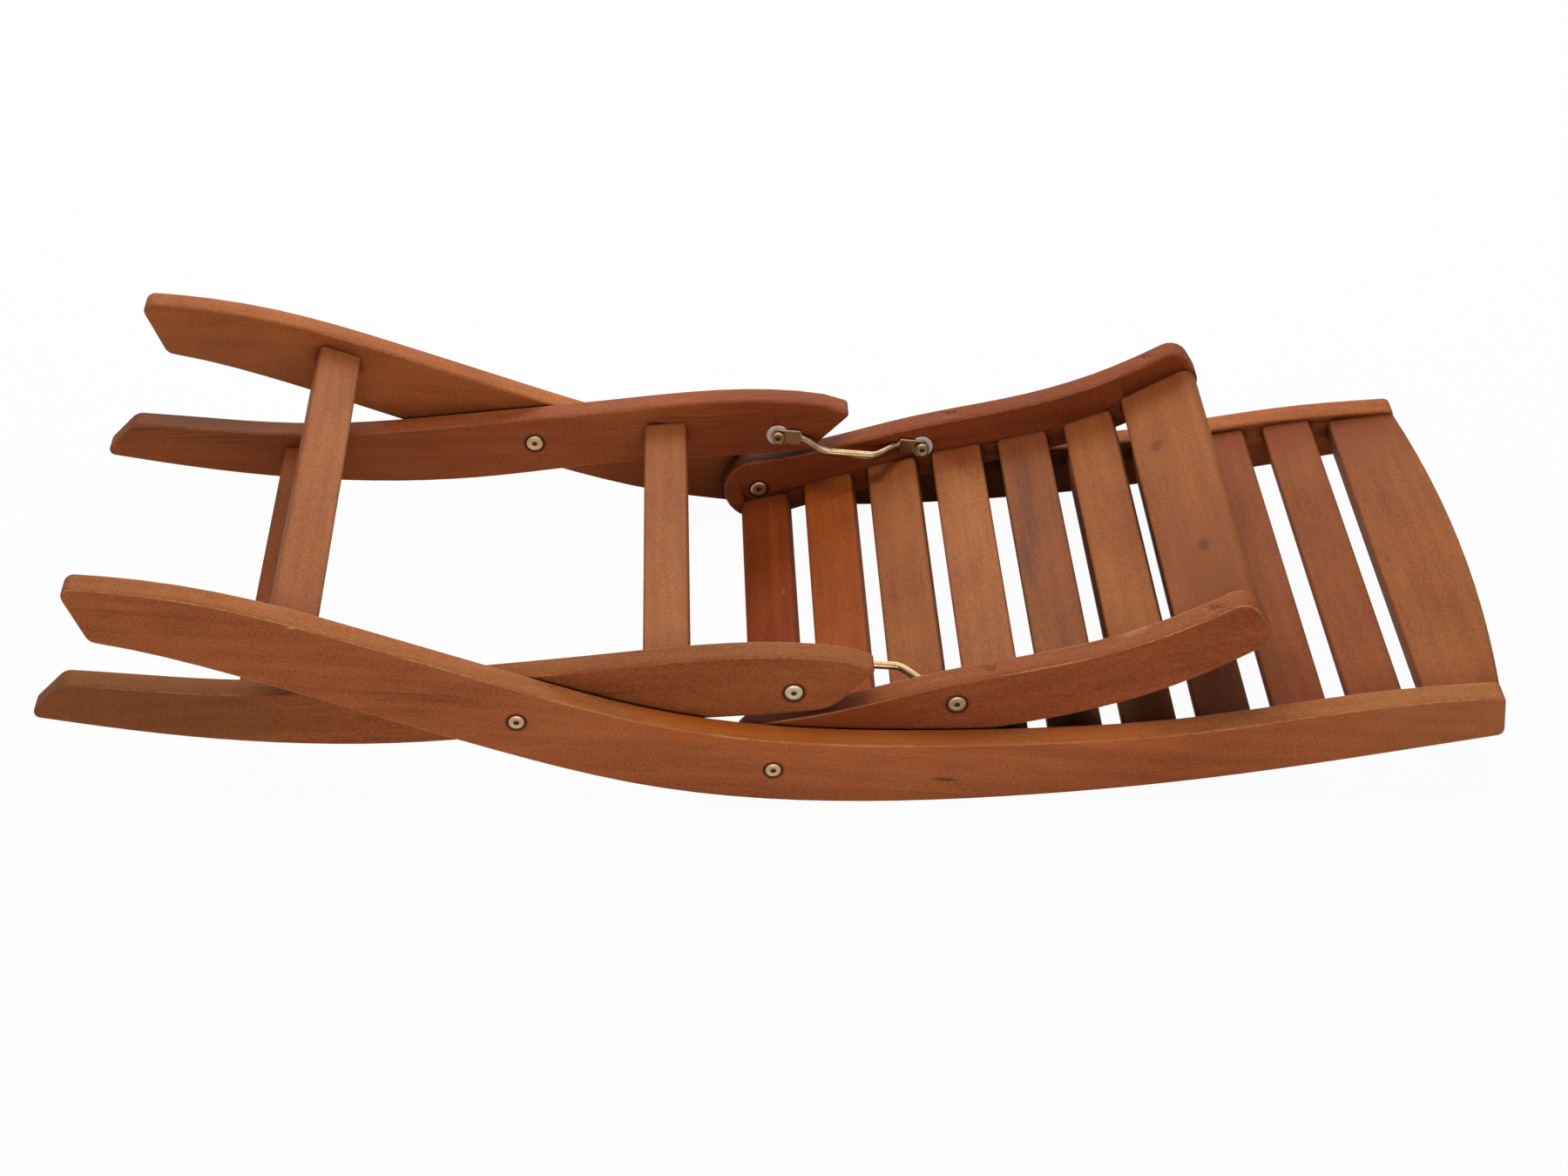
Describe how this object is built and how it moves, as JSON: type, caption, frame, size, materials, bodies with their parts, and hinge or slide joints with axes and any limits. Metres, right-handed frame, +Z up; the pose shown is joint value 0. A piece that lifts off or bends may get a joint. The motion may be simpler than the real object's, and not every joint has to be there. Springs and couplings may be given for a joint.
{
  "type": "folding chair",
  "caption": "Slatted wooden folding chair with curved side rails, a hinged seat, crossing rear legs and bowed brass links, folded flat and lying on its back.",
  "frame": {"origin": "centre of the footprint box of the folded chair, on the surface it lies on", "axes": "+X from the feet to the top of the back, +Y from the sitter's left to the right, +Z up off the surface it lies on"},
  "size_m": [1.1358, 0.4316, 0.2119],
  "materials": {
    "rail_wood": "satin red-brown stain",
    "slat_wood": "satin red-brown stain",
    "pin_wood": "dark end grain, flush",
    "brass": "pale satin brass",
    "nylon": "translucent grey-white nylon"
  },
  "bodies": {
    "back_frame": {"back_slat_1": "slat_wood", "back_slat_2": "slat_wood", "back_slat_3": "slat_wood", "back_slat_4": "slat_wood", "back_slat_5": "slat_wood", "back_slat_6": "slat_wood", "crest_rail": "slat_wood", "foot_stretcher": "rail_wood", "leg_pivot_bolt_left": "brass", "leg_pivot_bolt_right": "brass", "leg_pivot_nut_left": "brass", "leg_pivot_nut_right": "brass", "leg_pivot_washer_left": "nylon", "leg_pivot_washer_right": "nylon", "long_rail_left": "rail_wood", "long_rail_right": "rail_wood", "seat_pivot_bolt_left": "brass", "seat_pivot_bolt_right": "brass", "seat_pivot_nut_left": "brass", "seat_pivot_nut_right": "brass", "seat_pivot_washer_left": "nylon", "seat_pivot_washer_right": "nylon"},
    "seat_frame": {"link_seat_bolt_left": "brass", "link_seat_bolt_right": "brass", "link_seat_nut_left": "brass", "link_seat_nut_right": "brass", "link_seat_washer_left": "nylon", "link_seat_washer_right": "nylon", "seat_front_slat": "slat_wood", "seat_pin_front_left": "pin_wood", "seat_pin_front_right": "pin_wood", "seat_pin_middle_left": "pin_wood", "seat_pin_middle_right": "pin_wood", "seat_rail_left": "rail_wood", "seat_rail_right": "rail_wood", "seat_slat_1": "slat_wood", "seat_slat_2": "slat_wood", "seat_slat_3": "slat_wood", "seat_slat_4": "slat_wood", "seat_slat_5": "slat_wood", "seat_slat_6": "slat_wood"},
    "leg_frame": {"link_leg_nut_left": "brass", "link_leg_nut_right": "brass", "lower_leg_stretcher": "rail_wood", "rear_leg_left": "rail_wood", "rear_leg_right": "rail_wood", "upper_leg_stretcher": "rail_wood"},
    "link_left": {"link_left": "brass", "link_leg_bolt_left": "brass", "link_leg_washer_left": "nylon"},
    "link_right": {"link_leg_bolt_right": "brass", "link_leg_washer_right": "nylon", "link_right": "brass"}
  },
  "joints": [
    {"name": "seat_fold", "type": "hinge", "parent": "back_frame", "child": "seat_frame", "pos_m": [-0.007, 0, 0.03357], "axis": [0, -1, 0], "range_deg": [0, 87.5]},
    {"name": "leg_fold", "type": "hinge", "parent": "back_frame", "child": "leg_frame", "pos_m": [-0.20164, 0, 0.08377], "axis": [0, -1, 0], "range_deg": [0, 65.45]},
    {"name": "link_left_swing", "type": "hinge", "parent": "seat_frame", "child": "link_left", "pos_m": [0.13456, 0, 0.07772], "axis": [0, -1, 0], "range_deg": [-134.95, 0]},
    {"name": "link_right_swing", "type": "hinge", "parent": "seat_frame", "child": "link_right", "pos_m": [0.13456, 0, 0.07772], "axis": [0, -1, 0], "range_deg": [-134.95, 0]}
  ],
  "couplings": [
    {"joint": "leg_fold", "follows": "seat_fold", "ratio": 0.74742},
    {"joint": "link_left_swing", "follows": "seat_fold", "ratio": -1.5417},
    {"joint": "link_right_swing", "follows": "seat_fold", "ratio": -1.5417}
  ]
}
